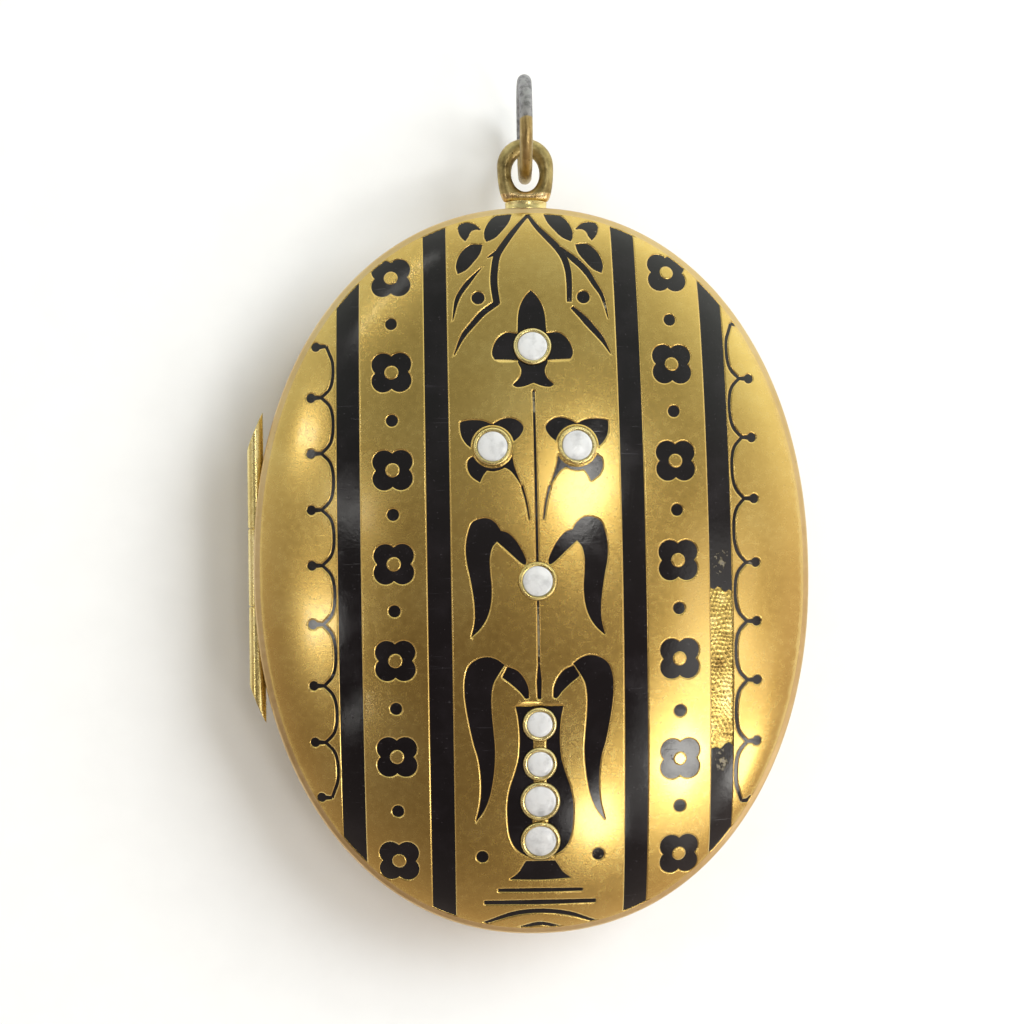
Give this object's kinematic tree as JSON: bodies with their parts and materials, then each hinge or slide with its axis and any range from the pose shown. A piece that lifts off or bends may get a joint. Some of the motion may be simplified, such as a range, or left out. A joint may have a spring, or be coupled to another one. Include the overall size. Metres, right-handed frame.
{
  "type": "picture locket",
  "caption": "Oval hinged picture locket: domed gilt covers, black enamel stripes and set pearls, glazed picture frames inside, a bail and a jump ring.",
  "frame": {"origin": "middle of the small flat oval on the back cover that the locket rests on", "axes": "+Z out of the enamelled front, +Y towards the bail, +X away from the hinge"},
  "size_m": [0.0352, 0.0541, 0.01],
  "materials": {
    "gilt_metal": "worn satin gilding with fine scratches and pits",
    "antique_brass": "darker tarnished gilt brass",
    "black_enamel": "glossy black fired enamel",
    "pearl": "flat-set white pearl with a soft sheen",
    "blank_paper": "aged cream card",
    "clear_glass": "thin flat clear glass"
  },
  "bodies": {
    "back": {"back_cover": "gilt_metal", "hinge_knuckle_upper": "gilt_metal", "hinge_knuckle_lower": "gilt_metal", "bail_collar": "gilt_metal", "bail_loop": "antique_brass", "hinge_pin": "antique_brass", "back_seat_ring": "gilt_metal", "back_lining_plate": "gilt_metal", "back_bezel": "gilt_metal", "back_paper_insert": "blank_paper", "back_glass": "clear_glass", "closing_flange": "gilt_metal"},
    "front": {"front_cover": "gilt_metal", "hinge_knuckle_middle": "gilt_metal", "enamel_stripe_left_inner": "black_enamel", "enamel_stripe_right_inner": "black_enamel", "enamel_stripe_left_outer": "black_enamel", "enamel_stripe_right_outer": "black_enamel", "pearl_fleur": "pearl", "pearl_pansy_left": "pearl", "pearl_pansy_right": "pearl", "pearl_centre": "pearl", "pearl_vase_1": "pearl", "pearl_vase_2": "pearl", "pearl_vase_3": "pearl", "pearl_vase_4": "pearl", "collet_fleur": "gilt_metal", "collet_pansy_left": "gilt_metal", "collet_pansy_right": "gilt_metal", "collet_centre": "gilt_metal", "collet_vase_1": "gilt_metal", "collet_vase_2": "gilt_metal", "collet_vase_3": "gilt_metal", "collet_vase_4": "gilt_metal", "front_seat_ring": "gilt_metal", "front_lining_plate": "gilt_metal", "front_paper_insert": "blank_paper", "front_glass": "clear_glass", "front_bezel": "gilt_metal"},
    "jump_ring": {"jump_ring": "antique_brass"}
  },
  "joints": [
    {"name": "cover_hinge", "type": "hinge", "parent": "back", "child": "front", "pos_m": [-0.01728, 0.00032, 0.005], "axis": [0, -1, 0], "range_deg": [0, 150]},
    {"name": "jump_ring_swing", "type": "hinge", "parent": "back", "child": "jump_ring", "pos_m": [0, 0.0266, 0.0045], "axis": [1, 0, 0], "range_deg": [-45, 45]}
  ]
}
